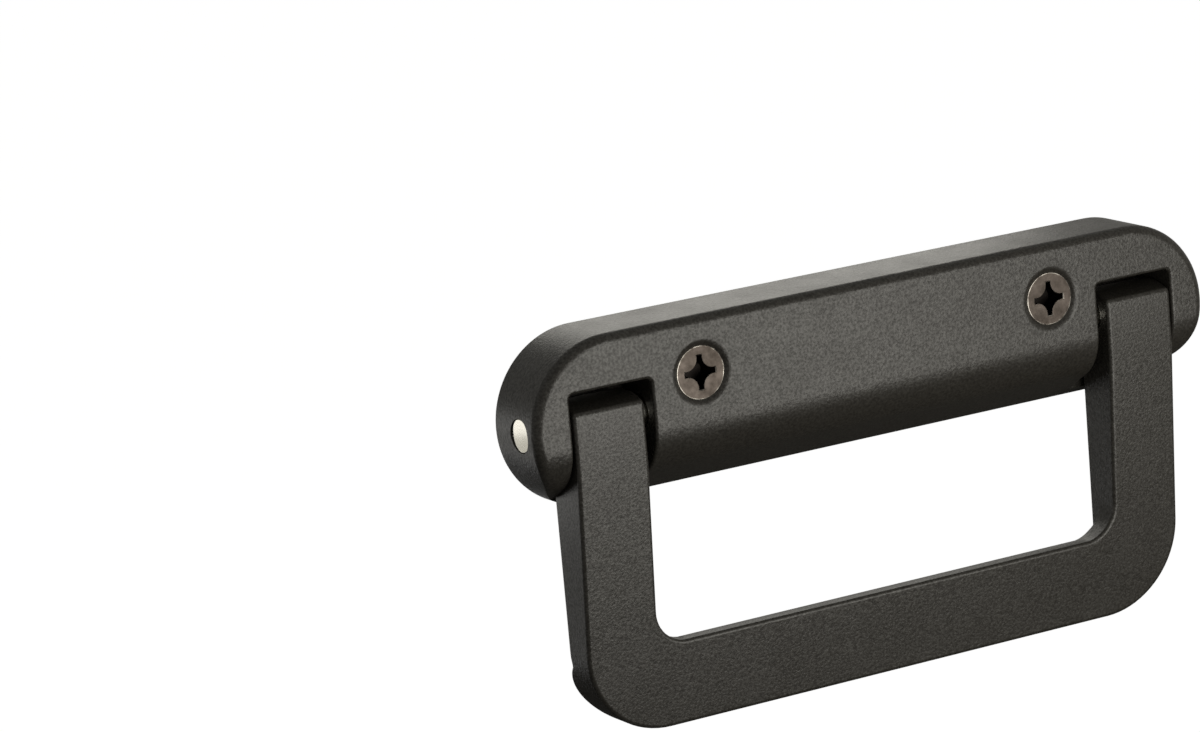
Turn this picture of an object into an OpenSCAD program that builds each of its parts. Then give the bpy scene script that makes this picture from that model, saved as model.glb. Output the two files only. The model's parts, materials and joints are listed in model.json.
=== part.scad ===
// Folding handle for a wall, door or case: a flat base with round ends, and a bail that hangs
// from two short hinge pins and swings out level.
// The origin lies on the wall, midway between the two mounting screws.
// X runs along the base, Y into the wall, Z up. Lengths are in millimetres.

/* [Base] */
// Length of the base, end to end
base_length = 115; // [100:0.5:130]
// Height of the base, which is also the diameter of its round ends
base_height = 26; // [25:0.5:30]
// Depth of the base, from the wall to its front face
base_depth = 11.5; // [11.2:0.1:13]
// Rounding of the front edge
edge_round = 1.1; // [0.5:0.1:1.8]
// Angle of the slanted underside below the level
underside_angle = 31; // [26:1:36]
// Radius between the front face and the underside
underside_round = 5.6; // [4:0.2:6.6]
// Depth of the level strip that is left along the wall
wall_land = 0.5; // [0.3:0.1:1]

/* [Mounting screws] */
// Distance of each screw from the end of the base
screw_inset = 27.5; // [26.5:0.5:32]
// Height of the screws above the hinge axis
screw_rise = 4.7; // [4.5:0.1:5.5]
// Thread diameter
thread_d = 4; // [3.8:0.1:4.2]
// Diameter of the plain shank inside the base
shank_d = 3.5; // [3:0.1:3.6]
// Diameter of the countersunk head
head_d = 8; // [7:0.1:8.4]
// Length of a screw, head included
screw_length = 20; // [16:1:30]
// Diameter of the countersink at the front face
countersink_d = 9; // [8.4:0.1:9.4]
// Diameter of the clearance hole
clearance_d = 4.4; // [4.3:0.1:4.6]
// Diameter of the circle around the cross recess
recess_d = 5.2; // [4:0.1:5.4]
// Depth of the cross recess
recess_depth = 2.4; // [1.5:0.1:2.6]
// Narrowest width of a wing of the cross recess
wing_w = 0.8; // [0.6:0.05:1]

/* [Hinge pins] */
// Diameter of each hinge pin
pin_d = 5; // [4:0.1:5.2]
// Length of each hinge pin
pin_length = 24; // [22:0.5:24.5]
// Distance of the hinge axis behind the front face
pin_setback = 4.8; // [4.4:0.1:5]
// Radial play of a pin in the bail
pin_play = 0.05; // [0.02:0.01:0.09]

/* [Bail] */
// Width of each leg
leg_width = 11.5; // [10.5:0.1:12]
// How far the legs stand proud of the front face
leg_proud = 0.1; // [0:0.05:0.4]
// Distance of a leg's back behind the hinge axis, below the eye
leg_back = 2.95; // [2.8:0.05:3.4]
// Drop from the hinge axis to the lower edge of the grip
bail_drop = 46.2; // [42:0.1:60]
// Height of the grip
grip_height = 12.5; // [11.5:0.1:14]
// Depth of the grip, from its flat front to its round back
grip_depth = 7.4; // [7:0.1:8]
// Distance of the grip's front behind the front face of the base
grip_setback = 2.3; // [1.6:0.1:2.8]
// Radius of the two outer corners
outer_corner = 13; // [8:0.5:16]
// Radius of the two inner corners
inner_corner = 5; // [3:0.5:7]
// Radius of the eye behind the hinge axis
eye_radius = 3.9; // [3.7:0.1:4.1]
// Height of the eye's flat top above the hinge axis
eye_top = 3.6; // [3.3:0.1:3.7]
// Height of the edge where the leg's front turns into the eye's top
nose_height = 2.6; // [2.2:0.1:3]

/* [Slots] */
// Width of the cheek that is left outside each slot
cheek_width = 5.9; // [5:0.1:7]
// Gap between a leg and the outer side of its slot
gap_outer = 0.3; // [0.25:0.05:0.6]
// Gap between a leg and the inner side of its slot
gap_inner = 1.6; // [0.4:0.1:1.8]
// Gap between the raised leg and the ceiling of its slot
gap_above = 0.4; // [0.35:0.05:0.8]
// Gap between the turning nose of the leg and the ceiling
gap_nose = 0.25; // [0.15:0.05:0.3]
// Gap between the eye and the floor of the slot
gap_behind = 0.3; // [0.2:0.05:0.5]
// Radius of the slot's upper corners
slot_corner = 0.8; // [0.5:0.1:1]

/* [Stop buffers] */
// Diameter of each stop buffer
buffer_d = 3.8; // [3:0.1:4.2]
// Diameter of the blind hole in its face
buffer_hole_d = 1.1; // [0.6:0.1:1.6]
// Drop from the hinge axis to the buffer's centre
buffer_drop = 9; // [8.9:0.1:9.4]
// Depth of the pocket that holds it
buffer_seat = 1.3; // [1:0.1:1.6]
// Gap between the buffer and the hanging leg
buffer_gap = 0.08; // [0.05:0.01:0.2]

/* [Hidden] */
$fn = 96;
// Overrun of a cut past the surface that it opens
over = 1;
// Depth by which a hinge pin's end lies inside the crown of the round end
pin_inset = 0.25;
// Spare depth of a pin's bore past the pin's inner end
bore_relief = 0.4;
// Chamfer at a screw's tip
tip_chamfer = 0.5;
// Wall under a buffer's blind hole
buffer_web = 0.7;
// How far the eye's flat top runs in front of the hinge axis
top_reach = 1.8;
// Place of the recess's petals, as a share of the recess's radius
petal_share = 0.85;
// Drop from the hinge axis to where a leg's front starts to lean back
lean_start = 6;
// Height above the window's lower edge where a leg's front is level with the grip's
lean_end = 2.5;
// How far the web in an inner corner runs back over the grip's round
web_reach = 2;
// How far a leg's inner side is carried down into the grip's round
foot_sink = 0.5;
// Drops from the hinge axis to the start and the end of the eye's taper at the back
taper_start = 3.5;
taper_end = 6.8;

front_y = -base_depth;
pin_y = front_y + pin_setback;
pin_z = -screw_rise;
end_radius = base_height / 2;
base_low = pin_z - end_radius;
end_x = base_length / 2 - end_radius;
// Centre of the rounding between the front face and the underside
turn_y = front_y + underside_round;
turn_z = base_low + underside_round / cos(underside_angle) - (wall_land + turn_y) * tan(underside_angle);
// Where that rounding runs into the underside
slant_y = turn_y - underside_round * sin(underside_angle);
slant_z = turn_z - underside_round * cos(underside_angle);
screw_x = base_length / 2 - screw_inset;
leg_outer = base_length / 2 - cheek_width - gap_outer;
leg_inner = leg_outer - leg_width;
leg_middle = leg_outer - leg_width / 2;
slot_width = leg_width + gap_inner + gap_outer;
slot_middle = (leg_inner - gap_inner + leg_outer + gap_outer) / 2;
// How far the slot's round corner comes down over the outer edge of the leg
corner_bite = max(0, slot_corner - gap_outer);
corner_drop = slot_corner - sqrt(pow(slot_corner, 2) - pow(corner_bite, 2));
// Distances from the hinge axis: front of a leg, ceiling and floor of its slot, reach of its nose
leg_front = pin_setback + leg_proud;
slot_ceiling = leg_front + gap_above + corner_drop;
slot_floor = eye_radius + gap_behind;
nose_reach = leg_front + gap_above - gap_nose;
// Heights and depths of the grip, from the hinge axis
window_low = grip_height - bail_drop;
grip_front = grip_setback - pin_setback;
grip_round = grip_height / 2;
grip_middle = grip_round - bail_drop;
// Depth where the grip's round begins, and its drop to the depth of a leg's back
round_start = grip_front + grip_depth - grip_round;
round_drop = grip_round - sqrt(pow(grip_round, 2) - pow(leg_back - round_start, 2));
// Width and half depth of the blank that the bail is cut from
bail_width = 2 * leg_outer + 2 * over;
bail_reach = base_depth + over;
pin_end = base_length / 2 - pin_inset;
head_sink = (countersink_d - head_d) / 2;
petal_at = petal_share * recess_d / 2;

// Extrudes a drawing in Y and Z along X, centred
module along_x(length) {
    rotate([90, 0, 90])
        linear_extrude(length, center = true)
            children();
}

// Extrudes a drawing in X and Z along Y, between two planes
module along_y(from, to) {
    translate([0, to, 0])
        rotate([90, 0, 0])
            linear_extrude(to - from)
                children();
}

// Points the Z axis of its children into the wall
module into_wall() {
    rotate([-90, 0, 0])
        children();
}

// Draws its children on both sides of the middle
module both_sides() {
    for (side = [0, 1])
        mirror([side, 0, 0])
            children();
}

// Rectangle that stands on the X axis, with its two upper corners rounded
module round_topped(width, height, corner) {
    translate([-width / 2, 0])
        square([width, height - corner]);
    translate([corner - width / 2, 0])
        square([width - 2 * corner, height]);
    for (side = [-1, 1])
        translate([side * (width / 2 - corner), height - corner])
            circle(corner);
}

// Half of the base's section, from the middle of its height outwards, with the front edge rounded
module half_section() {
    square([end_radius - edge_round, base_depth]);
    square([end_radius, base_depth - edge_round]);
    translate([end_radius - edge_round, base_depth - edge_round])
        circle(edge_round);
}

// Plain block with round ends and a rounded front edge
module round_ended_block() {
    translate([0, 0, pin_z]) {
        along_x(2 * end_x)
            rotate(90)
                both_sides()
                    half_section();
        both_sides()
            translate([end_x, 0, 0])
                rotate([90, 0, 0])
                    rotate(-90)
                        rotate_extrude(angle = 180)
                            half_section();
    }
}

// Cut that slants the underside of the base, with a rounding where it leaves the front face
module underside_cut() {
    along_x(base_length + 2 * over)
        difference() {
            polygon([
                [front_y - over, turn_z],
                [turn_y, turn_z],
                [slant_y, slant_z],
                [-wall_land, base_low],
                [-wall_land, base_low - over],
                [front_y - over, base_low - over]
            ]);
            translate([turn_y, turn_z])
                circle(underside_round);
        }
}

// Slot for the right leg, open to the front and to the bottom
module slot_cut() {
    along_y(front_y - over, pin_y + slot_floor)
        translate([slot_middle, base_low - over])
            round_topped(slot_width, end_radius + slot_ceiling + over, slot_corner);
}

// Bore for the right hinge pin, drilled from the end of the base
module pin_bore() {
    translate([pin_end - pin_length - bore_relief, pin_y, pin_z])
        rotate([0, 90, 0])
            cylinder(h = pin_length + bore_relief + over, d = pin_d);
}

// Countersunk hole for the right mounting screw
module screw_hole() {
    translate([screw_x, front_y, 0])
        into_wall() {
            translate([0, 0, -over])
                cylinder(h = (countersink_d - clearance_d) / 2 + over,
                    d1 = countersink_d + 2 * over, d2 = clearance_d);
            cylinder(h = base_depth + over, d = clearance_d);
        }
}

// Puts its children at the seat of the right stop buffer, in the slot's floor
module at_buffer_seat() {
    translate([leg_middle, pin_y + slot_floor, pin_z - buffer_drop])
        into_wall()
            children();
}

module base_body() {
    color("#2b2a29")
        difference() {
            round_ended_block();
            underside_cut();
            both_sides() {
                slot_cut();
                pin_bore();
                screw_hole();
                at_buffer_seat()
                    translate([0, 0, -over])
                        cylinder(h = buffer_seat + over, d = buffer_d);
            }
        }
}

// Front view of the bail: a U with round corners, about the hinge axis
module bail_outline() {
    top = nose_reach;
    translate([0, top])
        mirror([0, 1])
            difference() {
                round_topped(2 * leg_outer, top + bail_drop, outer_corner);
                translate([0, -over])
                    round_topped(2 * leg_inner, top - window_low + over, inner_corner);
            }
}

// Front view of the right leg, down to its foot in the grip
module leg_zone() {
    foot = window_low - round_drop - foot_sink;
    polygon([
        [leg_inner, foot],
        [leg_inner, nose_reach],
        [leg_outer + over, nose_reach],
        [leg_outer + over, grip_middle],
        [leg_inner + foot - grip_middle, grip_middle]
    ]);
}

// Front view of the web that fills the right inner corner
module web_zone() {
    translate([leg_inner - inner_corner, grip_middle])
        square([inner_corner + over, window_low + inner_corner - grip_middle]);
}

// Side view of a leg about the hinge axis: eye, and leg that leans back to the grip
module leg_profile() {
    intersection() {
        circle(eye_radius);
        translate([-2 * eye_radius, -2 * eye_radius])
            square([4 * eye_radius, 2 * eye_radius + eye_top]);
    }
    polygon([
        [0, eye_top],
        [-top_reach, eye_top],
        [-sqrt(pow(nose_reach, 2) - pow(nose_height, 2)), nose_height],
        [-leg_front, sqrt(pow(nose_reach, 2) - pow(leg_front, 2))],
        [-leg_front, -lean_start],
        [grip_front, window_low + lean_end],
        [grip_front, grip_middle],
        [leg_back, grip_middle],
        [leg_back, -taper_end],
        [eye_radius, -taper_start],
        [eye_radius, 0],
        [0, 0]
    ]);
}

// Side view of the grip about the hinge axis: flat front and round back
module grip_profile() {
    translate([grip_front, -bail_drop])
        square([grip_depth - grip_round, grip_height]);
    translate([round_start, grip_middle])
        intersection() {
            circle(grip_round);
            translate([0, -grip_round])
                square([grip_round, grip_height]);
        }
}

// Side view of the web: the front of a leg, cut off a little behind the start of the grip's round
module web_profile() {
    intersection() {
        leg_profile();
        translate([round_start + web_reach - bail_reach, -bail_drop])
            square([bail_reach, bail_drop]);
    }
}

module bail_handle() {
    color("#2e2c2b")
        translate([0, pin_y, pin_z])
            difference() {
                intersection() {
                    union() {
                        along_x(bail_width)
                            grip_profile();
                        intersection() {
                            along_x(bail_width)
                                leg_profile();
                            along_y(-bail_reach, bail_reach)
                                both_sides()
                                    leg_zone();
                        }
                        intersection() {
                            along_x(bail_width)
                                web_profile();
                            along_y(-bail_reach, bail_reach)
                                both_sides()
                                    web_zone();
                        }
                    }
                    along_y(-bail_reach, bail_reach)
                        bail_outline();
                }
                rotate([0, 90, 0])
                    cylinder(h = bail_width, r = pin_d / 2 + pin_play, center = true);
            }
}

// Hinge pin, pressed into the base on both sides of the slot
module hinge_pin() {
    color("#c8c7bf")
        translate([pin_end - pin_length, pin_y, pin_z])
            rotate([0, 90, 0])
                cylinder(h = pin_length, d = pin_d);
}

module hinge_pin_left() {
    mirror([1, 0, 0])
        hinge_pin();
}

module hinge_pin_right() {
    hinge_pin();
}

// Outline of the cross recess: a circle with four round petals left standing
module cross_outline() {
    difference() {
        circle(d = recess_d);
        for (turn = [45 : 90 : 315])
            rotate(turn)
                translate([petal_at * sqrt(2), 0])
                    circle(petal_at - wing_w / 2);
    }
}

// Countersunk screw with a cross recess, its head a little below the front face
module mounting_screw() {
    color("#3a322e")
        translate([screw_x, front_y + head_sink, 0])
            into_wall()
                difference() {
                    rotate_extrude()
                        polygon([
                            [0, 0],
                            [head_d / 2, 0],
                            [shank_d / 2, (head_d - shank_d) / 2],
                            [shank_d / 2, base_depth - head_sink],
                            [thread_d / 2, base_depth - head_sink],
                            [thread_d / 2, screw_length - tip_chamfer],
                            [thread_d / 2 - tip_chamfer, screw_length],
                            [0, screw_length]
                        ]);
                    intersection() {
                        translate([0, 0, -over])
                            linear_extrude(recess_depth + over)
                                cross_outline();
                        translate([0, 0, -over])
                            cylinder(h = recess_depth + over, r1 = recess_d / 2 + over / 2,
                                r2 = (recess_d - recess_depth) / 2);
                    }
                }
}

module mounting_screw_left() {
    mirror([1, 0, 0])
        mounting_screw();
}

module mounting_screw_right() {
    mounting_screw();
}

// Push-in buffer that the hanging leg comes to rest against
module stop_buffer() {
    stand = slot_floor - leg_back - buffer_gap;
    color("#1b1b1b")
        at_buffer_seat()
            translate([0, 0, -stand])
                difference() {
                    cylinder(h = stand + buffer_seat, d = buffer_d);
                    translate([0, 0, -over])
                        cylinder(h = stand + buffer_seat - buffer_web + over, d = buffer_hole_d);
                }
}

module stop_buffer_left() {
    mirror([1, 0, 0])
        stop_buffer();
}

module stop_buffer_right() {
    stop_buffer();
}

base_body();
bail_handle();
hinge_pin_left();
hinge_pin_right();
mounting_screw_left();
mounting_screw_right();
stop_buffer_left();
stop_buffer_right();
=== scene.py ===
# %% [markdown]
# # A folding handle on its frame
# The handle is a flat base with round ends, and a bail that hangs from two short pins. Its solids come
# from a CAD frame that is already at its real size, in metres. This lesson gives each solid a finished
# copy: the base is drawn anew, the front of the bail is moved onto one plane, the edges that a mould and
# a coat of powder would round are rounded, and every piece gets its finish.

# %% Load the frame
import json
import math

import bmesh
import bpy
from mathutils import Matrix, Vector


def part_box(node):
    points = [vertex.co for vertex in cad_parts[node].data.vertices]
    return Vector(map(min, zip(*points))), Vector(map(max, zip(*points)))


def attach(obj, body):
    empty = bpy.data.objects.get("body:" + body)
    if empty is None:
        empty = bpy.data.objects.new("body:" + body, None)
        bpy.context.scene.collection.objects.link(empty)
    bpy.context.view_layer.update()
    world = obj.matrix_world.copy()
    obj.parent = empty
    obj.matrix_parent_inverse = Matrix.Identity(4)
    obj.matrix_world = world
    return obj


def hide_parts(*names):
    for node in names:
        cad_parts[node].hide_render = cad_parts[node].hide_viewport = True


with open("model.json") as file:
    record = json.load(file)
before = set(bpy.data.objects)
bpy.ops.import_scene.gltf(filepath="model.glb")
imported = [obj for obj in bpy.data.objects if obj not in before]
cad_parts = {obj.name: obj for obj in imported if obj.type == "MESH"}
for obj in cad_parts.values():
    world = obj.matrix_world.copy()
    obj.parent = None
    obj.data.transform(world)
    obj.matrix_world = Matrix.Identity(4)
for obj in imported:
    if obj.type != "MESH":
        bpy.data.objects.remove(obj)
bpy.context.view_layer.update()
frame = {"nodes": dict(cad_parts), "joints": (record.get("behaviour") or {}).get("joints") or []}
MM = 0.001
scene = bpy.context.scene
scene.view_settings.view_transform = "Standard"

# %% [markdown]
# The few places that the whole lesson needs are read from the frame and not typed again: the hinge axis,
# the boxes around the base and the bail, the front face of the base and the wall plane behind it.

# %% Places on the handle
hinge = frame["joints"][0]
hinge_at = Vector(hinge["pos_m"])
base_low, base_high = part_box("base_body")
bail_low, bail_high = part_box("bail_handle")
front_y = base_low.y
wall_y = base_high.y
print("hinge axis in mm:", [round(v / MM, 2) for v in hinge_at])
print("front face at", round(front_y / MM, 2), "mm")

# %% [markdown]
# ## The camera
# A long lens looks at the handle from its left and a little from above, and is rolled a few degrees, so
# that the base climbs towards the right. It aims at the middle of the front face, level with the hinge.
# The lens is shifted sideways because the handle stands in the right half of the picture. Shifting keeps
# the viewing angle, which turning the camera would change.

# %% Camera
VIEW_AZIMUTH = math.radians(31.82)
VIEW_ELEVATION = math.radians(12.50)
VIEW_ROLL = math.radians(4.53)
VIEW_DISTANCE = 746 * MM
PICTURE_WIDTH, PICTURE_HEIGHT = 1200, 732
FOCAL_PIXELS = 5164
AIM_PIXEL = (883, 367)
SENSOR_WIDTH = 36.0
CLIP_START = 10 * MM

aim = Vector((0, front_y, hinge_at.z))
across = Vector((math.cos(VIEW_AZIMUTH), -math.sin(VIEW_AZIMUTH), 0))
ahead = Vector((
    math.sin(VIEW_AZIMUTH) * math.cos(VIEW_ELEVATION),
    math.cos(VIEW_AZIMUTH) * math.cos(VIEW_ELEVATION),
    -math.sin(VIEW_ELEVATION),
))
upward = across.cross(ahead)
turn = Matrix((across, upward, -ahead)).transposed().to_4x4()

lens = bpy.data.cameras.new("long_lens")
lens.sensor_width = SENSOR_WIDTH
lens.lens = FOCAL_PIXELS * SENSOR_WIDTH / PICTURE_WIDTH
lens.shift_x = (PICTURE_WIDTH / 2 - AIM_PIXEL[0]) / PICTURE_WIDTH
lens.shift_y = (AIM_PIXEL[1] - PICTURE_HEIGHT / 2) / PICTURE_WIDTH
lens.clip_start = CLIP_START
camera = bpy.data.objects.new("camera", lens)
stand = Matrix.Translation(aim - VIEW_DISTANCE * ahead)
camera.matrix_world = stand @ turn @ Matrix.Rotation(-VIEW_ROLL, 4, "Z")
scene.collection.objects.link(camera)
scene.camera = camera
print("lens of", round(lens.lens, 1), "mm, shifted by", round(lens.shift_x, 3), round(lens.shift_y, 3))

# %% [markdown]
# ## Rounded castings from the CAD solids
# A CAD node arrives as loose triangles. A bevel needs whole faces, so a copy is welded, and the triangles
# that lie in one plane are joined. Every edge where two faces meet at a clear angle can then be rounded.
# The CAD node itself is left as it is and only hidden behind its finished copy.

# %% Helpers for finished copies of CAD nodes
WELD = 0.004 * MM
FLAT_ANGLE = math.radians(0.2)
SHARP_ANGLE = math.radians(28)


def welded_copy(node):
    bm = bmesh.new()
    bm.from_mesh(frame["nodes"][node].data)
    bmesh.ops.remove_doubles(bm, verts=bm.verts, dist=WELD)
    bmesh.ops.dissolve_limit(bm, angle_limit=FLAT_ANGLE, verts=bm.verts, edges=bm.edges)
    bmesh.ops.dissolve_degenerate(bm, dist=WELD, edges=bm.edges)
    return bm


def sharp_edges(bm, wanted=lambda points: True):
    return [
        edge for edge in bm.edges
        if len(edge.link_faces) == 2 and edge.calc_face_angle() > SHARP_ANGLE
        and wanted([vert.co for vert in edge.verts])
    ]


def round_edges(bm, edges, width, steps=3):
    bmesh.ops.bevel(
        bm, geom=edges, offset=width, offset_type="OFFSET", segments=steps, profile=0.5,
        affect="EDGES", material=-1, clamp_overlap=False, loop_slide=True,
    )


def finished_piece(bm, name, body, nodes):
    open_edges = sum(not edge.is_manifold for edge in bm.edges)
    for edge in bm.edges:
        edge.smooth = edge.is_manifold and edge.calc_face_angle() < SHARP_ANGLE
    mesh = bpy.data.meshes.new(name)
    bm.to_mesh(mesh)
    bm.free()
    mesh.polygons.foreach_set("use_smooth", [True] * len(mesh.polygons))
    piece = bpy.data.objects.new(name, mesh)
    scene.collection.objects.link(piece)
    even = piece.modifiers.new("even_normals", "WEIGHTED_NORMAL")
    even.weight = 100
    even.keep_sharp = True
    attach(piece, body)
    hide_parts(*nodes)
    print(name, "has", len(mesh.polygons), "faces and", open_edges, "open edges")
    return piece


# %% [markdown]
# ## The base: a block with a soft rim
# The base is one die casting. On the real one the soft rim of the front runs on around the ends and down
# along the slanted underside, while in the frame it breaks off there. So the block is drawn anew. Its
# outline is an arc, spun from one point, and the mirror of that arc. Narrow insets follow the outline where
# the rim will curve, and level cuts cross the face where it will turn under.

# %% Outline of the base
RIM = 1.5 * MM
RIM_STEPS = 6
UNDER_ROUND = 8 * MM
UNDER_ANGLE = math.radians(31)
UNDER_STEPS = 10
WALL_LAND = 0.5 * MM
ARC_STEPS = 60
SLOT_SIDE = 36.5 * MM


def cut_across(bm, point, normal, clear=False):
    bmesh.ops.bisect_plane(
        bm, geom=bm.verts[:] + bm.edges[:] + bm.faces[:], dist=WELD,
        plane_co=point, plane_no=normal, clear_outer=clear,
    )


end_radius = (base_high.z - base_low.z) / 2
end_x = base_high.x - end_radius
slope = math.tan(UNDER_ANGLE)
turn_y = front_y + UNDER_ROUND
turn_z = base_low.z + UNDER_ROUND / math.cos(UNDER_ANGLE) - (WALL_LAND + turn_y - wall_y) * slope

bm = bmesh.new()
first = bm.verts.new((end_x, front_y, base_low.z))
bmesh.ops.spin(
    bm, geom=[first], cent=(end_x, front_y, hinge_at.z), axis=(0, 1, 0), angle=-math.pi, steps=ARC_STEPS,
)
twin = bmesh.ops.duplicate(bm, geom=bm.verts[:] + bm.edges[:])["geom"]
bmesh.ops.scale(bm, vec=(-1, 1, 1), verts=[part for part in twin if isinstance(part, bmesh.types.BMVert)])
for height in (base_low.z, base_high.z):
    bm.edges.new([vert for vert in bm.verts if abs(vert.co.z - height) < WELD])
face = bmesh.ops.edgeloop_fill(bm, edges=bm.edges[:])["faces"][0]
rings = [RIM * (1 - math.cos(math.pi / 2 * step / RIM_STEPS)) for step in range(RIM_STEPS + 1)]
for near, far in zip(rings, rings[1:]):
    bmesh.ops.inset_region(bm, faces=[face], thickness=far - near, use_boundary=True, use_even_offset=True)
tilts = [(math.pi / 2 - UNDER_ANGLE) * step / UNDER_STEPS for step in range(UNDER_STEPS + 1)]
levels = [(turn_z - UNDER_ROUND * math.sin(tilt), UNDER_ROUND * (1 - math.cos(tilt))) for tilt in tilts]
for height, depth in levels:
    cut_across(bm, (0, 0, height), (0, 0, 1))
for x in (-SLOT_SIDE, SLOT_SIDE):
    cut_across(bm, (x, 0, 0), (1, 0, 0))
print("outline with", len(bm.faces), "faces")
print("front turns under", round((hinge_at.z - turn_z) / MM, 2), "mm below the hinge")

# %% [markdown]
# Each point of the flat drawing is now pushed back as far as the underside and the rim ask for. Where the
# underside already leans away, the rim has less of a corner to round, so it gets shallower towards the
# bottom. The outer edge is then drawn back to the wall plane and closed.

# %% Block of the base


def under_depth(z):
    for (top, near), (foot, far) in zip(levels, levels[1:]):
        if z >= foot:
            return near + (far - near) * max(top - z, 0) / (top - foot)
    return levels[-1][1] + (levels[-1][0] - z) / slope


def pushed_back(point):
    depth = under_depth(point.z)
    tilt = min(math.asin(min(max((turn_z - point.z) / UNDER_ROUND, 0), 1)), tilts[-1])
    reach = math.hypot(max(abs(point.x) - end_x, 0), point.z - hinge_at.z)
    outward = max(RIM - max(end_radius - reach, 0), 0)
    if outward:
        corner = math.acos((hinge_at.z - point.z) / reach * math.sin(tilt))
        depth += (RIM - math.sqrt(RIM ** 2 - outward ** 2)) * math.tan(corner / 2)
    return front_y + depth


for vert in bm.verts:
    vert.co.y = pushed_back(vert.co)
walls = bmesh.ops.extrude_edge_only(bm, edges=[edge for edge in bm.edges if edge.is_boundary])["geom"]
for part in walls:
    if isinstance(part, bmesh.types.BMVert):
        part.co.y = wall_y
bmesh.ops.edgeloop_fill(bm, edges=[edge for edge in bm.edges if edge.is_boundary])
bmesh.ops.recalc_face_normals(bm, faces=bm.faces)
block_mesh = bpy.data.meshes.new("block")
bm.to_mesh(block_mesh)
bm.free()
block = bpy.data.objects.new("block", block_mesh)
scene.collection.objects.link(block)
print("block with", len(block_mesh.polygons), "faces")

# %% [markdown]
# ## The base: slots, bores and holes
# What a core in the mould and a drill take out of the real casting is cut out here with solids of the same
# sizes: the slots for the legs, the bores for the pins, the countersunk holes and the pockets of the
# buffers. A cut is the one thing that the mesh operators can't give, so a Boolean does it. The edges of the
# slots and holes then lose their sharpness, and those on the wall and around the pins stay crisp.

# %% Base casting
SIDES = ("left", "right")
SLOT_WIDTH = 13.4 * MM
SLOT_SIDE_GAP = 0.3 * MM
SLOT_CEILING = 5.48 * MM
SLOT_FLOOR = 4.2 * MM
SLOT_CORNER = 0.8 * MM
SLOT_ROUND = 0.5 * MM
BORE_RELIEF = 0.4 * MM
COUNTERSINK = 4.5 * MM
CLEARANCE = 2.2 * MM
PIN_RIM = 3 * MM
WALL_MARGIN = 2.6 * MM
OVER = 1 * MM


def add_slot(bm, side):
    outer = bail_high.x + SLOT_SIDE_GAP
    low = Vector((outer - SLOT_WIDTH, front_y - OVER, base_low.z - OVER))
    high = Vector((outer, hinge_at.y + SLOT_FLOOR, hinge_at.z + SLOT_CEILING))
    verts = bmesh.ops.create_cube(bm, size=1)["verts"]
    bmesh.ops.scale(bm, vec=high - low, verts=verts)
    bmesh.ops.translate(bm, vec=(low + high) / 2, verts=verts)
    if side == "left":
        bmesh.ops.translate(bm, vec=(-low.x - high.x, 0, 0), verts=verts)
    edges = {edge for vert in verts for edge in vert.link_edges}
    upper = [
        edge for edge in edges
        if all(vert.co.z > high.z - WELD for vert in edge.verts)
        and abs(edge.verts[0].co.x - edge.verts[1].co.x) < WELD
    ]
    round_edges(bm, upper, SLOT_CORNER, steps=6)


def add_rod(bm, start, end, radius, end_radius):
    along = end - start
    bmesh.ops.create_cone(
        bm, cap_ends=True, segments=64, radius1=radius, radius2=end_radius, depth=along.length,
        matrix=Matrix.Translation((start + end) / 2) @ along.to_track_quat("Z", "Y").to_matrix().to_4x4(),
    )


def add_bore(bm, side):
    low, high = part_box("hinge_pin_" + side)
    outwards = Vector((1 if side == "right" else -1, 0, 0))
    inner = Vector((min(abs(low.x), abs(high.x)) * outwards.x, hinge_at.y, hinge_at.z))
    radius = (high.z - low.z) / 2
    add_rod(bm, inner - BORE_RELIEF * outwards, inner + (high.x - low.x + OVER) * outwards, radius, radius)


def screw_mouth(side):
    low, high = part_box("mounting_screw_" + side)
    return Vector(((low.x + high.x) / 2, front_y, (low.z + high.z) / 2))


def add_countersink(bm, side):
    mouth = screw_mouth(side)
    tip = COUNTERSINK - CLEARANCE + OVER
    start = mouth - Vector((0, OVER, 0))
    end = mouth + Vector((0, tip, 0))
    add_rod(bm, start, end, COUNTERSINK + OVER, CLEARANCE - OVER)


def add_clearance(bm, side):
    mouth = screw_mouth(side)
    end = wall_y - front_y + OVER
    add_rod(bm, mouth + Vector((0, OVER, 0)), mouth + Vector((0, end, 0)), CLEARANCE, CLEARANCE)


def add_pocket(bm, side):
    low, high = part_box("stop_buffer_" + side)
    middle = (low + high) / 2
    start = Vector((middle.x, low.y, middle.z))
    radius = (high.x - low.x) / 2
    add_rod(bm, start, Vector((middle.x, high.y, middle.z)), radius, radius)


def on_pin_rim(point):
    return abs(point.x) > bail_high.x + 2 * RIM and (point.yz - hinge_at.yz).length < PIN_RIM


def slot_edge(points):
    off_wall = wall_y - (points[0].y + points[1].y) / 2 > WALL_MARGIN
    return off_wall and not any(on_pin_rim(point) for point in points)


for add_cut in (add_slot, add_bore, add_countersink, add_clearance, add_pocket):
    bm = bmesh.new()
    for side in SIDES:
        add_cut(bm, side)
    bmesh.ops.recalc_face_normals(bm, faces=bm.faces)
    cutter_mesh = bpy.data.meshes.new("cutter")
    bm.to_mesh(cutter_mesh)
    bm.free()
    cutter = bpy.data.objects.new("cutter", cutter_mesh)
    scene.collection.objects.link(cutter)
    cut = block.modifiers.new("cut", "BOOLEAN")
    cut.operation = "DIFFERENCE"
    cut.solver = "EXACT"
    cut.use_self = True
    cut.object = cutter

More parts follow.
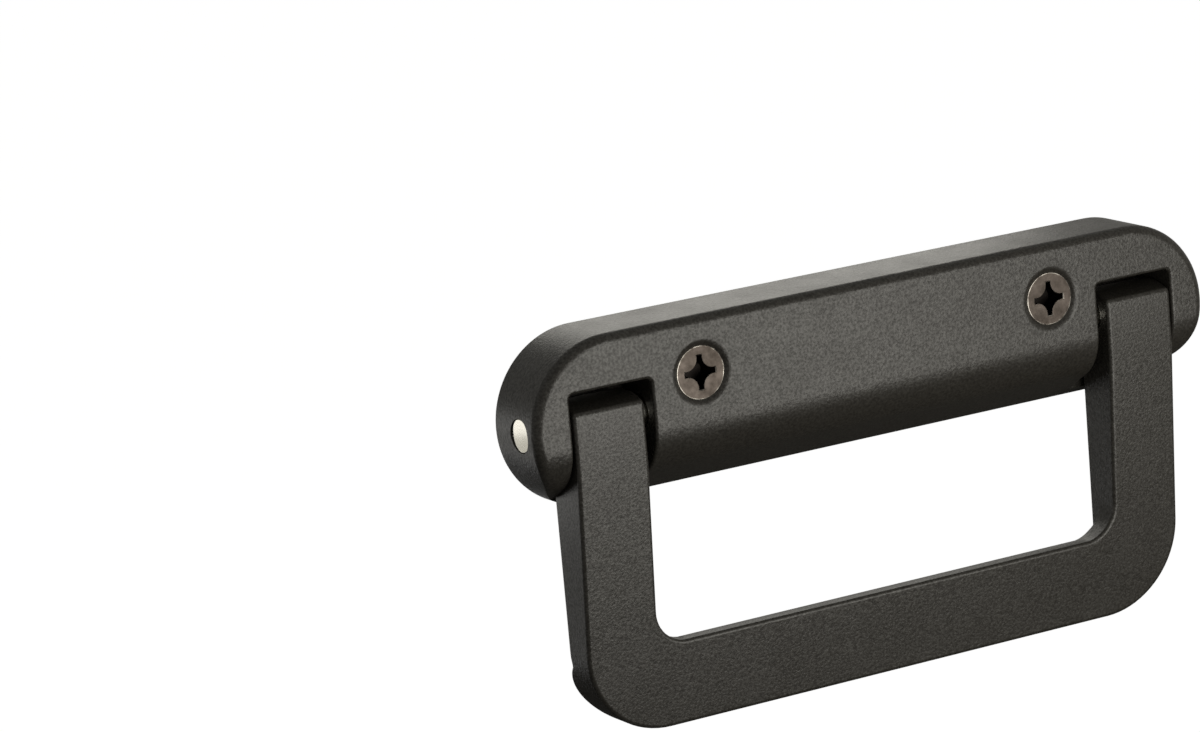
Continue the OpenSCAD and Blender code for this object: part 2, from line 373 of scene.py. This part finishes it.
cut_block = block.evaluated_get(bpy.context.evaluated_depsgraph_get())
bm = bmesh.new()
bm.from_mesh(cut_block.to_mesh())
for cut in block.modifiers:
    bpy.data.objects.remove(cut.object)
bpy.data.objects.remove(block)
bmesh.ops.remove_doubles(bm, verts=bm.verts, dist=WELD)
bmesh.ops.dissolve_limit(bm, angle_limit=FLAT_ANGLE, verts=bm.verts, edges=bm.edges)
round_edges(bm, sharp_edges(bm, slot_edge), SLOT_ROUND, steps=4)
base_casting = finished_piece(bm, "base_casting", "base", ["base_body"])

# %% [markdown]
# ## The bail
# The bail is cast too. On the real one, legs and grip share one smooth front that leans back a little below
# the hinge, and the frame draws it in two flat steps. So the points of the front are moved onto one plane.
# The upper front edges of the legs, which the frame cuts back, are drawn square before they are rounded,
# and the small webs in the inner corners run out into the grip.
# The edges are then rounded a little more than those of the slots, because a hand closes around the bail.
# Only the low edges at the back stay as they are, where a leg sinks into the round of the grip: there the
# casting has no free edge.

# %% Bail casting
BAIL_ROUND = 0.6 * MM
NOSE_HEIGHT = 2.6 * MM
NOSE_FOOT = 6 * MM
FRONT_LEAN = 3 / 40.2
FRONT_AREA = 50 * MM ** 2
FRONT_FACING = -0.99
WEB_END = 16.5 * MM
WEB_BACK = 5.55 * MM
WEB_FOOT = 12.3 * MM
WEB_STEP = 0.33 * MM
WEB_TAPER = 2.5 * MM
LEG_ZONE = 9.3 * MM
CORNER_ZONE = 23 * MM

leg_inner = bail_high.x - LEG_ZONE
corner_top = bail_low.z + CORNER_ZONE


def front_at(z):
    return bail_low.y + FRONT_LEAN * max(hinge_at.z - NOSE_FOOT - z, 0)


def free_edge(points):
    middle = (points[0] + points[1]) / 2
    on_front = middle.y < front_at(middle.z) + SLOT_ROUND / 2
    return on_front or abs(middle.x) > leg_inner or middle.z > corner_top


bm = welded_copy("bail_handle")
fronts = [face for face in bm.faces if face.normal.y < FRONT_FACING and face.calc_area() > FRONT_AREA]
for vert in {vert for face in fronts for vert in face.verts}:
    vert.co.y = front_at(vert.co.z)
for vert in bm.verts:
    if abs(vert.co.z - hinge_at.z - NOSE_HEIGHT) < WELD and vert.co.y < hinge_at.y - NOSE_HEIGHT:
        vert.co.y = bail_low.y
bmesh.ops.dissolve_limit(bm, angle_limit=FLAT_ANGLE, verts=bm.verts, edges=bm.edges)
for vert in bm.verts:
    beyond = abs(vert.co.x) - (bail_high.x - WEB_END)
    behind = vert.co.y > bail_low.y + WEB_BACK - WELD and vert.co.z > bail_low.z + WEB_FOOT
    if behind and -WELD < beyond < WEB_TAPER and vert.co.z < corner_top:
        vert.co.z -= WEB_STEP * (1 - beyond / WEB_TAPER)
bmesh.ops.remove_doubles(bm, verts=bm.verts, dist=4 * WELD)
print(len(fronts), "front faces of the bail moved onto one plane")
round_edges(bm, sharp_edges(bm, free_edge), BAIL_ROUND, steps=4)
bail_casting = finished_piece(bm, "bail_casting", "bail", ["bail_handle"])

# %% [markdown]
# ## The hinge pins
# Each pin is a length of drawn steel, parted off on a lathe and pressed in from the end of the base. The
# tool leaves a small round at the rim. It is what draws the dark ring around the bright end.

# %% Hinge pins
PIN_ROUND = 0.3 * MM

pins = []
for side in SIDES:
    bm = welded_copy("hinge_pin_" + side)
    round_edges(bm, sharp_edges(bm), PIN_ROUND)
    pins.append(finished_piece(bm, "turned_pin_" + side, "base", ["hinge_pin_" + side]))

# %% [markdown]
# ## The mounting screws
# The head comes from the frame, with its rim and the lips of the cross recess rounded as cold forming
# leaves them. The frame draws the thread as a plain cylinder. Behind the wall plane it is cut away, and a
# core with a rolled thread takes its place: four points of the thread's section are spun around the axis
# and moved on by one pitch with each turn.

# %% Mounting screws
RIM_ROUND = 0.25 * MM
RECESS_ROUND = 0.12 * MM
RIM_RADIUS = 3.5 * MM
THREAD_PITCH = 0.7 * MM
CORE_RADIUS = 1.62 * MM
ROOT_RADIUS = 1.55 * MM
CREST_RADIUS = 1.98 * MM
ROOT_HALF = 0.3 * MM
CREST_HALF = 0.05 * MM
TURN_STEPS = 24
TIP_CHAMFER = 0.45 * MM
CORE_OVERLAP = 2 * MM


def screw_axis(node):
    low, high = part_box(node)
    return Vector(((low.x + high.x) / 2, low.y, (low.z + high.z) / 2)), high.y


def add_core(bm, axis, tip_y):
    start_y = wall_y - CORE_OVERLAP
    middle = Vector((axis.x, (start_y + tip_y) / 2, axis.z))
    core = bmesh.ops.create_cone(
        bm, cap_ends=True, segments=32, radius1=CORE_RADIUS, radius2=CORE_RADIUS, depth=tip_y - start_y,
        matrix=Matrix.Translation(middle) @ Matrix.Rotation(math.pi / 2, 4, "X"),
    )
    at_tip = [vert for vert in core["verts"] if vert.co.y > tip_y - WELD]
    rim = {edge for vert in at_tip for edge in vert.link_edges if edge.other_vert(vert) in at_tip}
    round_edges(bm, list(rim), TIP_CHAMFER, steps=1)


def add_thread(bm, axis, tip_y):
    start_y = wall_y + ROOT_HALF
    turns = (tip_y - TIP_CHAMFER - ROOT_HALF - start_y) / THREAD_PITCH
    steps = round(turns * TURN_STEPS)
    section = [
        (ROOT_RADIUS, -ROOT_HALF), (CREST_RADIUS, -CREST_HALF),
        (CREST_RADIUS, CREST_HALF), (ROOT_RADIUS, ROOT_HALF),
    ]
    verts = [bm.verts.new((axis.x + radius, start_y + along, axis.z)) for radius, along in section]
    face = bm.faces.new(verts)
    bmesh.ops.spin(
        bm, geom=[face] + face.edges[:] + verts, cent=(axis.x, start_y, axis.z), axis=(0, 1, 0),
        dvec=(0, THREAD_PITCH / TURN_STEPS, 0), angle=2 * math.pi * steps / TURN_STEPS, steps=steps,
    )


screws = []
for side in SIDES:
    node = "mounting_screw_" + side
    axis, tip_y = screw_axis(node)
    bm = welded_copy(node)
    cut_across(bm, (0, wall_y - RECESS_ROUND, 0), (0, 1, 0), clear=True)
    bmesh.ops.edgeloop_fill(bm, edges=[edge for edge in bm.edges if edge.is_boundary])

    def on_face(points, rim):
        outside = all(math.hypot(point.x - axis.x, point.z - axis.z) > RIM_RADIUS for point in points)
        return all(point.y < axis.y + WELD for point in points) and outside == rim

    round_edges(bm, sharp_edges(bm, lambda points: on_face(points, True)), RIM_ROUND)
    round_edges(bm, sharp_edges(bm, lambda points: on_face(points, False)), RECESS_ROUND, steps=2)
    add_core(bm, axis, tip_y)
    add_thread(bm, axis, tip_y)
    bmesh.ops.recalc_face_normals(bm, faces=bm.faces)
    screws.append(finished_piece(bm, "countersunk_screw_" + side, "base", [node]))

# %% [markdown]
# ## The stop buffers
# A small rubber buffer is pushed into the floor of each slot, and the hanging leg comes to rest against
# it. Moulded rubber has no sharp edge, so both rims are rounded.

# %% Stop buffers
BUFFER_ROUND = 0.2 * MM

buffers = []
for side in SIDES:
    node = "stop_buffer_" + side
    bm = welded_copy(node)
    round_edges(bm, sharp_edges(bm), BUFFER_ROUND)
    buffers.append(finished_piece(bm, "moulded_buffer_" + side, "base", [node]))

# %% [markdown]
# ## Colours and nodes
# Colours are written as they look on a screen, as sRGB hex values, and one function turns them to the
# linear values that a shader needs. One small function adds a node with its settings and its links.

# %% Helpers for materials


def linear(hex_colour):
    channels = [int(hex_colour[i:i + 2], 16) / 255 for i in (1, 3, 5)]
    return [c / 12.92 if c <= 0.04045 else ((c + 0.055) / 1.055) ** 2.4 for c in channels] + [1.0]


def add_node(tree, kind, links=None, **settings):
    node = tree.nodes.new(kind)
    for key, value in settings.items():
        if key in node.inputs:
            node.inputs[key].default_value = value
        else:
            setattr(node, key, value)
    for key, source in (links or {}).items():
        tree.links.new(source, node.inputs[key])
    return node


def new_material(name):
    material = bpy.data.materials.new(name)
    material.use_nodes = True
    material.node_tree.nodes.clear()
    return material, material.node_tree


def finish_with(material, pieces):
    for piece in pieces:
        piece.data.materials.clear()
        piece.data.materials.append(material)
    print(material.name, "on", ", ".join(piece.name for piece in pieces))


# %% [markdown]
# ## Powder coat
# The castings are sprayed with black powder that is baked to a skin with a fine grain. The eye sees it as
# a dark, slightly warm grey with a speckle of small lights, because each grain tilts the surface a little
# and its top mirrors more than the hollows beside it.
# Real grains are about 0.3 mm; they are drawn at 0.4 mm, so that they don't vanish between the pixels.
# Where the powder lies thicker it is also a little smoother, in patches of some millimetres.

# %% Powder coat
GRAIN = 0.4 * MM
PATCH = 6 * MM


def powder_coat():
    material, tree = new_material("black_fine_texture_powder_coat")
    place = add_node(tree, "ShaderNodeTexCoord").outputs["Object"]
    grain = add_node(tree, "ShaderNodeTexNoise", {"Vector": place}, Scale=1 / GRAIN, Detail=2.0, Roughness=0.6)
    patch = add_node(tree, "ShaderNodeTexNoise", {"Vector": place}, Scale=1 / PATCH, Detail=2.0, Roughness=0.5)
    tint = add_node(tree, "ShaderNodeValToRGB", {"Fac": grain.outputs["Fac"]})
    tint.color_ramp.elements[0].position = 0.3
    tint.color_ramp.elements[0].color = linear("#201e1b")
    tint.color_ramp.elements[1].position = 0.7
    tint.color_ramp.elements[1].color = linear("#2d2b27")
    gloss = add_node(
        tree, "ShaderNodeMapRange", {"Value": patch.outputs["Fac"]},
        **{"From Min": 0.3, "From Max": 0.7, "To Min": 0.33, "To Max": 0.38},
    )
    glint = add_node(
        tree, "ShaderNodeMapRange", {"Value": grain.outputs["Fac"]},
        **{"From Min": 0.35, "From Max": 0.65, "To Min": 0.28, "To Max": 0.52},
    )
    bump = add_node(
        tree, "ShaderNodeBump", {"Height": grain.outputs["Fac"]}, Strength=0.6, Distance=0.08 * MM,
    )
    coat = add_node(
        tree, "ShaderNodeBsdfPrincipled",
        {"Base Color": tint.outputs["Color"], "Roughness": gloss.outputs["Result"],
         "Normal": bump.outputs["Normal"], "Specular IOR Level": glint.outputs["Result"]},
    )
    add_node(tree, "ShaderNodeOutputMaterial", {"Surface": coat.outputs["BSDF"]})
    return material


finish_with(powder_coat(), [base_casting, bail_casting])

# %% [markdown]
# ## Turned steel
# The end of a pin was faced on a lathe, which leaves fine rings around its axis. They break the mirror into
# a bright, silky disc. Real tool marks are about 0.1 mm apart; they are drawn at 0.2 mm to show at all.

# %% Turned steel
TOOL_MARK = 0.2 * MM
WAVE_TURNS = 20 / (2 * math.pi)


def turned_steel():
    material, tree = new_material("bright_turned_steel")
    place = add_node(tree, "ShaderNodeTexCoord")
    centred = add_node(tree, "ShaderNodeMapping", {"Vector": place.outputs["Object"]}, Location=-hinge_at)
    rings = add_node(
        tree, "ShaderNodeTexWave", {"Vector": centred.outputs["Vector"]},
        wave_type="RINGS", rings_direction="X",
        Scale=1 / (TOOL_MARK * WAVE_TURNS), Distortion=0.6, Detail=1.0,
    )
    tint = add_node(tree, "ShaderNodeValToRGB", {"Fac": rings.outputs["Fac"]})
    tint.color_ramp.elements[0].color = linear("#d3d0c5")
    tint.color_ramp.elements[1].color = linear("#fbf8ee")
    bump = add_node(
        tree, "ShaderNodeBump", {"Height": rings.outputs["Fac"]}, Strength=0.15, Distance=0.01 * MM,
    )
    steel = add_node(
        tree, "ShaderNodeBsdfPrincipled",
        {"Base Color": tint.outputs["Color"], "Normal": bump.outputs["Normal"]},
        Metallic=1.0, Roughness=0.16,
    )
    add_node(tree, "ShaderNodeOutputMaterial", {"Surface": steel.outputs["BSDF"]})
    return material


finish_with(turned_steel(), pins)

# %% [markdown]
# ## Oxidised steel
# The screws are blackened steel. The oxide is thin, so the metal shines through it in a dull brown-grey,
# uneven from place to place. A painted highlight lies on the rim of the head and on the lips of the recess,
# and painted shade darkens the inside of the recess. Each of these is a step added to the tone, by the
# distance from the screw's axis or by the depth below its head. The last step brings the thread back to
# the plain tone.

# %% Oxidised steel with painted highlights and shade
CLOUD = 1.5 * MM
FORM_GRAIN = 0.25 * MM
# Bands where a painted highlight lies: the rim of the head, and the lips of the recess.
HEAD_RIM_HIGHLIGHT = (3.7 * MM, 3.8 * MM)
RECESS_LIP_HIGHLIGHT = (0.02 * MM, 0.06 * MM)
# Below this depth the recess gets painted shade.
RECESS_PAINTED_SHADE = (0.12 * MM, 0.25 * MM)
SHANK_END = 0.5 * MM


def oxidised_steel():
    material, tree = new_material("brown_black_oxidised_steel_painted_light")
    place = add_node(tree, "ShaderNodeTexCoord").outputs["Object"]
    cloud = add_node(tree, "ShaderNodeTexNoise", {"Vector": place}, Scale=1 / CLOUD, Detail=3.0, Roughness=0.6)
    grain = add_node(tree, "ShaderNodeTexNoise", {"Vector": place}, Scale=1 / FORM_GRAIN, Detail=1.0)
    mirrored = add_node(tree, "ShaderNodeVectorMath", {0: place}, operation="ABSOLUTE")
    flat = add_node(
        tree, "ShaderNodeMapping", {"Vector": mirrored.outputs[0]},
        Location=(-axis.x, 0, -axis.z), Scale=(1, 0, 1),
    )
    radius = add_node(tree, "ShaderNodeVectorMath", {0: flat.outputs[0]}, operation="LENGTH").outputs["Value"]
    along = add_node(tree, "ShaderNodeSeparateXYZ", {"Vector": place}).outputs["Y"]
    level = add_node(
        tree, "ShaderNodeMapRange", {"Value": cloud.outputs["Fac"]},
        **{"From Min": 0.3, "From Max": 0.7, "To Min": 0.35, "To Max": 0.65},
    ).outputs["Result"]
    # Steps of painted highlight on the rim and the lips, painted shade in the recess, and a step that lifts
    # that shade off the thread again.
    for source, start, end, change in (
        (radius, HEAD_RIM_HIGHLIGHT[0], HEAD_RIM_HIGHLIGHT[1], 0.22),
        (along, axis.y + RECESS_LIP_HIGHLIGHT[0], axis.y + RECESS_LIP_HIGHLIGHT[1], 0.35),
        (along, axis.y + RECESS_PAINTED_SHADE[0], axis.y + RECESS_PAINTED_SHADE[1], -1.0),
        (along, wall_y - SHANK_END, wall_y, 0.65),
    ):
        step = add_node(
            tree, "ShaderNodeMapRange", {"Value": source},
            **{"From Min": start, "From Max": end, "To Max": change},
        )
        level = add_node(
            tree, "ShaderNodeMath", {0: level, 1: step.outputs["Result"]}, operation="ADD",
        ).outputs[0]
    # The darkest colour of this ramp is the painted shade of the recess, the lightest the painted highlight of
    # rim and lips.
    tint = add_node(tree, "ShaderNodeValToRGB", {"Fac": level})
    tint.color_ramp.elements[0].color = linear("#141211")
    tint.color_ramp.elements[1].color = linear("#e8e3da")
    for position, colour in ((0.35, "#38332f"), (0.65, "#4b4541")):
        tint.color_ramp.elements.new(position).color = linear(colour)
    dull = add_node(
        tree, "ShaderNodeMapRange", {"Value": cloud.outputs["Fac"]},
        **{"From Min": 0.3, "From Max": 0.7, "To Min": 0.46, "To Max": 0.36},
    )
    bump = add_node(tree, "ShaderNodeBump", {"Height": grain.outputs["Fac"]}, Strength=0.2, Distance=0.02 * MM)
    steel = add_node(
        tree, "ShaderNodeBsdfPrincipled",
        {"Base Color": tint.outputs["Color"], "Roughness": dull.outputs["Result"],
         "Normal": bump.outputs["Normal"]},
        Metallic=1.0,
    )
    add_node(tree, "ShaderNodeOutputMaterial", {"Surface": steel.outputs["BSDF"]})
    return material


finish_with(oxidised_steel(), screws)

# %% [markdown]
# ## Moulded rubber
# Rubber swallows nearly all light. A faint grain from the mould and a dusty bloom in patches keep the two
# buffers from looking like holes when the bail is up.

# %% Moulded rubber
BLOOM = 0.8 * MM
MOULD_GRAIN = 0.15 * MM


def moulded_rubber():
    material, tree = new_material("black_moulded_rubber")
    place = add_node(tree, "ShaderNodeTexCoord").outputs["Object"]
    bloom = add_node(tree, "ShaderNodeTexNoise", {"Vector": place}, Scale=1 / BLOOM, Detail=3.0)
    grain = add_node(tree, "ShaderNodeTexNoise", {"Vector": place}, Scale=1 / MOULD_GRAIN, Detail=1.0)
    tint = add_node(tree, "ShaderNodeValToRGB", {"Fac": bloom.outputs["Fac"]})
    tint.color_ramp.elements[0].color = linear("#191919")
    tint.color_ramp.elements[1].color = linear("#2c2b2a")
    bump = add_node(tree, "ShaderNodeBump", {"Height": grain.outputs["Fac"]}, Strength=0.3, Distance=0.02 * MM)
    rubber = add_node(
        tree, "ShaderNodeBsdfPrincipled",
        {"Base Color": tint.outputs["Color"], "Normal": bump.outputs["Normal"]},
        Roughness=0.8,
    )
    add_node(tree, "ShaderNodeOutputMaterial", {"Surface": rubber.outputs["BSDF"]})
    return material


finish_with(moulded_rubber(), buffers)

# %% [markdown]
# ## Floor and surroundings
# The handle floats in a white studio: the camera and every mirror see plain white all around. The light
# that falls on the handle from there is dim, so that the lamps can model its shape. The floor is pale, lies
# well below the bail and catches its shadow.

# %% Floor and surroundings
FLOOR_DROP = 160 * MM
FLOOR_SIZE = 6.0
AROUND_LIT = 0.2
FLOOR_GLOW = 0.84


def seen_directly(tree):
    path = add_node(tree, "ShaderNodeLightPath")
    plain = add_node(
        tree, "ShaderNodeMath",
        {0: path.outputs["Is Camera Ray"], 1: path.outputs["Is Glossy Ray"]}, operation="MAXIMUM",
    )
    either = add_node(
        tree, "ShaderNodeMath",
        {0: plain.outputs[0], 1: path.outputs["Is Transmission Ray"]}, operation="MAXIMUM",
    )
    return either.outputs[0]


def stage_piece(name, bm, material):
    mesh = bpy.data.meshes.new(name)
    bm.to_mesh(mesh)
    bm.free()
    mesh.materials.append(material)
    piece = bpy.data.objects.new(name, mesh)
    scene.collection.objects.link(piece)
    return piece


world = bpy.data.worlds.new("white_studio")
scene.world = world
world.use_nodes = True
tree = world.node_tree
tree.nodes.clear()
lit = add_node(tree, "ShaderNodeBackground", Color=(1, 1, 1, 1), Strength=AROUND_LIT)
seen = add_node(tree, "ShaderNodeBackground", Color=(1, 1, 1, 1), Strength=1.0)
around = add_node(
    tree, "ShaderNodeMixShader", {0: seen_directly(tree), 1: lit.outputs[0], 2: seen.outputs[0]},
)
add_node(tree, "ShaderNodeOutputWorld", {"Surface": around.outputs[0]})

pale, tree = new_material("pale_studio_floor")
ground = add_node(tree, "ShaderNodeBsdfDiffuse", Color=linear("#e9e8e6"))
shine = add_node(tree, "ShaderNodeEmission", Color=(1, 1, 1, 1), Strength=FLOOR_GLOW)
dark = add_node(tree, "ShaderNodeEmission", Color=(0, 0, 0, 1))
glow = add_node(
    tree, "ShaderNodeMixShader", {0: seen_directly(tree), 1: dark.outputs[0], 2: shine.outputs[0]},
)
both = add_node(tree, "ShaderNodeAddShader", {0: ground.outputs[0], 1: glow.outputs[0]})
add_node(tree, "ShaderNodeOutputMaterial", {"Surface": both.outputs[0]})
floor_z = bail_low.z - FLOOR_DROP
bm = bmesh.new()
bmesh.ops.create_grid(
    bm, x_segments=1, y_segments=1, size=FLOOR_SIZE / 2, matrix=Matrix.Translation((0, 0, floor_z)),
)
stage_piece("floor", bm, pale)
print("floor", round(FLOOR_DROP / MM), "mm below the bail")

# %% [markdown]
# ## The lamps
# A black coat sends back little light of its own, so its tone is mostly the blurred mirror image of a lamp.
# The camera looks from the left, and so the soft box that the flat fronts mirror stands in front on the
# right. Its lower edge rises to the right, so that the left leg mirrors more of it than the right one, and
# the grip least of all. A smaller one stands behind on the right and draws the bright top. Both are slightly
# warm, as the greys of the coat are.

# %% Soft boxes
WARM = (1.0, 0.975, 0.9)


def soft_box(name, at, facing, roll, width, height, watts):
    light = bpy.data.lights.new(name, "AREA")
    light.shape = "RECTANGLE"
    light.size = width
    light.size_y = height
    light.energy = watts
    light.color = WARM
    lamp = bpy.data.objects.new(name, light)
    turned = Vector(facing).to_track_quat("-Z", "Y").to_matrix().to_4x4()
    lamp.matrix_world = Matrix.Translation(at) @ turned @ Matrix.Rotation(math.radians(roll), 4, "Z")
    lamp.visible_camera = False
    scene.collection.objects.link(lamp)
    print(name, round((at - aim).length / MM), "mm from the middle of the base")


soft_box(
    "soft_box_front", at=Vector((65, -212, -22)) * MM, facing=(0, 1, 0), roll=10,
    width=225 * MM, height=165 * MM, watts=0.46,
)
soft_box(
    "soft_box_back", at=Vector((60, 160, 66)) * MM, facing=(0, -1, 0), roll=0,
    width=160 * MM, height=80 * MM, watts=0.059,
)

# %% [markdown]
# ## Tent and cards
# Shiny black things are photographed inside a tent of grey cloth, which holds the white of the studio away
# from them. Cards set the last tones: a black one lies on the floor and darkens the slanted underside, and a
# white one stands behind the left end and lights the end of the pin. A small grey flag hangs
# between that card and the pin and darkens the lower half of the pin's end. Only mirror-like rays meet the
# tent and the cards: they throw no shadow, and the camera doesn't see them.

# %% Tent and cards
TENT_RADIUS = 600 * MM
TENT_HEIGHT = 1000 * MM
TENT_GREY = 0.36
FELT_BLACK = 0.03
FELT_GREY = 0.5
PAPER_WHITE = 1.15
PAPER_TINT = (1.0, 0.985, 0.95)
TENT_SINK = 10 * MM
FELT_LIFT = 5 * MM
FELT_FORWARD = 95 * MM
FELT_LENGTH = 1010 * MM
CARD_DISTANCE = 60 * MM
FLAG_DISTANCE = 30 * MM
FLAG_DROP = Vector((0, 0, 4.3 * MM))


def cloth(name, level, colour):
    material, tree = new_material(name)
    shine = add_node(tree, "ShaderNodeEmission", Color=(*colour, 1), Strength=level)
    add_node(tree, "ShaderNodeOutputMaterial", {"Surface": shine.outputs[0]})
    return material


def hang(name, bm, material):
    piece = stage_piece(name, bm, material)
    piece.visible_camera = False
    piece.visible_diffuse = False
    piece.visible_shadow = False
    print(name, "in", material.name)


def card(name, at, facing, width, height, material):
    bm = bmesh.new()
    bmesh.ops.create_grid(bm, x_segments=1, y_segments=1, size=0.5)
    bmesh.ops.scale(bm, vec=(width, height, 1), verts=bm.verts)
    turned = Vector(facing).to_track_quat("Z", "Y").to_matrix().to_4x4()
    bmesh.ops.transform(bm, matrix=Matrix.Translation(at) @ turned, verts=bm.verts)
    hang(name, bm, material)


bm = bmesh.new()
bmesh.ops.create_cone(
    bm, cap_ends=True, segments=64, radius1=TENT_RADIUS, radius2=TENT_RADIUS / 2, depth=TENT_HEIGHT,
    matrix=Matrix.Translation((0, 0, floor_z + TENT_HEIGHT / 2 - TENT_SINK)),
)
hang("tent", bm, cloth("grey_tent_cloth", TENT_GREY, WARM))
card(
    "card_below", at=Vector((0, -FELT_FORWARD, floor_z + FELT_LIFT)), facing=(0, 0, 1),
    width=2 * TENT_RADIUS, height=FELT_LENGTH, material=cloth("black_felt", FELT_BLACK, WARM),
)
pin_end = Vector((base_low.x, hinge_at.y, hinge_at.z))
to_card = Vector((-0.515, 0.83, -0.216))
card(
    "card_behind", at=pin_end + CARD_DISTANCE * to_card, facing=-to_card,
    width=50 * MM, height=30 * MM, material=cloth("white_paper", PAPER_WHITE, PAPER_TINT),
)
card(
    "flag", at=pin_end + FLAG_DISTANCE * to_card - FLAG_DROP, facing=-to_card,
    width=12 * MM, height=8 * MM, material=cloth("grey_felt", FELT_GREY, WARM),
)
